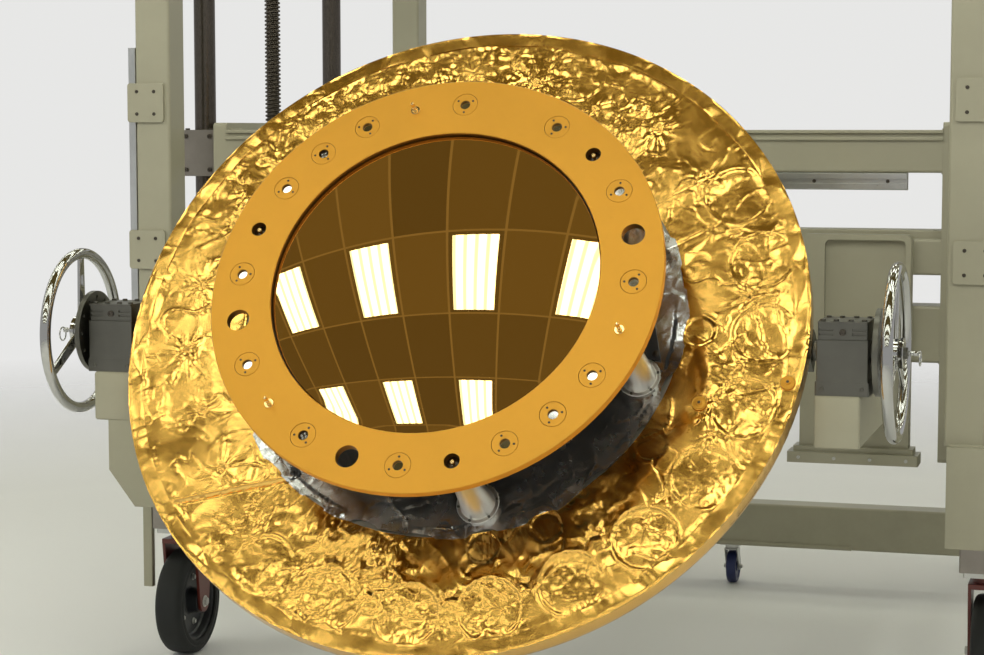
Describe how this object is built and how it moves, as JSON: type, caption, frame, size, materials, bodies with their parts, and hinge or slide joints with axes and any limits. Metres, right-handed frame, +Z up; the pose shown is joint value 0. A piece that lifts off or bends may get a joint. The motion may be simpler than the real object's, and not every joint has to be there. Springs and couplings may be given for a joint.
{
  "type": "satellite mirror unit on a turnover stand",
  "caption": "Convex mirror in a gold ring on six legs over a foil-covered disc, tilted between two trunnions with hand wheels on the arms of a castored lifting stand.",
  "frame": {"origin": "on the floor, at the middle of the footprint of the whole part", "axes": "+X along the trunnion axis, +Y from the mirror side to the tower side, +Z up"},
  "size_m": [2.466, 3.4104, 2.71],
  "materials": {
    "stand_paint": "pale green enamel",
    "bearing_steel": "ground steel",
    "dark_steel": "oiled ground rod",
    "block_grey": "grey anodised blocks",
    "chrome_wheel": "polished",
    "gold_plate": "matt gold conversion coat",
    "gold_foil": "crinkled gold film",
    "silver_foil": "crinkled silver film",
    "mirror_face": "polished convex mirror",
    "bare_aluminium": "machined",
    "grey_bracket": "dark grey anodised",
    "panel_skin": "panel skin",
    "tyre_rubber": "black rubber",
    "wheel_centre": "dark paint",
    "fork_red": "dark red paint",
    "small_wheel_blue": "navy polyurethane",
    "zinc_steel": "zinc plate",
    "slot_aluminium": "clear anodised extrusion",
    "motor_grey": "grey paint"
  },
  "bodies": {
    "stand_base": {"side_rails": "stand_paint", "tower_posts": "stand_paint", "guide_rods": "dark_steel", "lead_screws": "dark_steel", "top_rails": "stand_paint", "top_ties": "stand_paint", "screw_gearboxes": "motor_grey", "cross_shafts": "bearing_steel", "drive_motor": "motor_grey", "post_strips": "slot_aluminium", "clamp_plates": "stand_paint", "low_beam": "stand_paint", "drop_plates": "stand_paint", "castor_pads": "block_grey", "guard_bars": "stand_paint", "front_forks": "fork_red", "castor_plates": "zinc_steel"},
    "lift_head": {"arms": "stand_paint", "bearing_bases": "bearing_steel", "bearing_blocks": "bearing_steel", "bearing_caps": "bearing_steel", "crosshead_beams": "stand_paint", "slot_rail": "slot_aluminium", "side_plates": "stand_paint", "end_boxes": "stand_paint", "guide_blocks": "block_grey", "screw_nuts": "block_grey"},
    "tilt_unit": {"support_panel": "panel_skin", "gold_blanket": "gold_foil", "silver_blanket": "silver_foil", "hem_strip": "gold_foil", "blanket_buttons": "gold_plate", "gold_ring": "gold_plate", "target_inserts": "gold_plate", "target_flats": "bare_aluminium", "guide_pins": "gold_plate", "adjuster_screws": "gold_plate", "convex_mirror": "mirror_face", "mirror_cell": "grey_bracket", "standoff_legs": "bare_aluminium", "corner_brackets": "grey_bracket", "back_frame": "bare_aluminium", "trunnion_shafts": "bearing_steel", "index_discs": "bearing_steel", "hand_wheels": "chrome_wheel", "pull_pins": "chrome_wheel"},
    "front_wheel_left": {"front_rim_left": "wheel_centre", "front_tyre_left": "tyre_rubber"},
    "rear_castor_left": {"rear_fork_left": "fork_red"},
    "rear_wheel_left": {"rear_rim_left": "wheel_centre", "rear_tyre_left": "tyre_rubber"},
    "small_castor_left": {"small_fork_left": "zinc_steel"},
    "small_roller_left": {"small_wheel_left": "small_wheel_blue"},
    "front_wheel_right": {"front_rim_right": "wheel_centre", "front_tyre_right": "tyre_rubber"},
    "rear_castor_right": {"rear_fork_right": "fork_red"},
    "rear_wheel_right": {"rear_rim_right": "wheel_centre", "rear_tyre_right": "tyre_rubber"},
    "small_castor_right": {"small_fork_right": "zinc_steel"},
    "small_roller_right": {"small_wheel_right": "small_wheel_blue"}
  },
  "joints": [
    {"name": "lift_slide", "type": "slide", "parent": "stand_base", "child": "lift_head", "axis": [0, 0, 1], "range_m": [-0.15, 0.75]},
    {"name": "unit_tilt", "type": "hinge", "parent": "lift_head", "child": "tilt_unit", "pos_m": [0, -1.17435, 1.015], "axis": [1, 0, 0], "range_deg": [-57.5, 122.5]},
    {"name": "front_wheel_spin_left", "type": "hinge", "parent": "stand_base", "child": "front_wheel_left", "pos_m": [-1.13, -0.24435, 0.15], "axis": [1, 0, 0], "continuous": true},
    {"name": "rear_castor_swivel_left", "type": "hinge", "parent": "stand_base", "child": "rear_castor_left", "pos_m": [-1.13, 1.42565, 0.34], "axis": [0, 0, 1], "continuous": true},
    {"name": "rear_wheel_spin_left", "type": "hinge", "parent": "rear_castor_left", "child": "rear_wheel_left", "pos_m": [-1.13, 1.48065, 0.15], "axis": [1, 0, 0], "continuous": true},
    {"name": "small_castor_swivel_left", "type": "hinge", "parent": "stand_base", "child": "small_castor_left", "pos_m": [-0.2, 1.15565, 0.12], "axis": [0, 0, 1], "continuous": true},
    {"name": "small_wheel_spin_left", "type": "hinge", "parent": "small_castor_left", "child": "small_roller_left", "pos_m": [-0.2, 1.18065, 0.055], "axis": [1, 0, 0], "continuous": true},
    {"name": "front_wheel_spin_right", "type": "hinge", "parent": "stand_base", "child": "front_wheel_right", "pos_m": [1.13, -0.24435, 0.15], "axis": [1, 0, 0], "continuous": true},
    {"name": "rear_castor_swivel_right", "type": "hinge", "parent": "stand_base", "child": "rear_castor_right", "pos_m": [1.13, 1.42565, 0.34], "axis": [0, 0, 1], "continuous": true},
    {"name": "rear_wheel_spin_right", "type": "hinge", "parent": "rear_castor_right", "child": "rear_wheel_right", "pos_m": [1.13, 1.48065, 0.15], "axis": [1, 0, 0], "continuous": true},
    {"name": "small_castor_swivel_right", "type": "hinge", "parent": "stand_base", "child": "small_castor_right", "pos_m": [0.2, 1.15565, 0.12], "axis": [0, 0, 1], "continuous": true},
    {"name": "small_wheel_spin_right", "type": "hinge", "parent": "small_castor_right", "child": "small_roller_right", "pos_m": [0.2, 1.18065, 0.055], "axis": [1, 0, 0], "continuous": true}
  ]
}
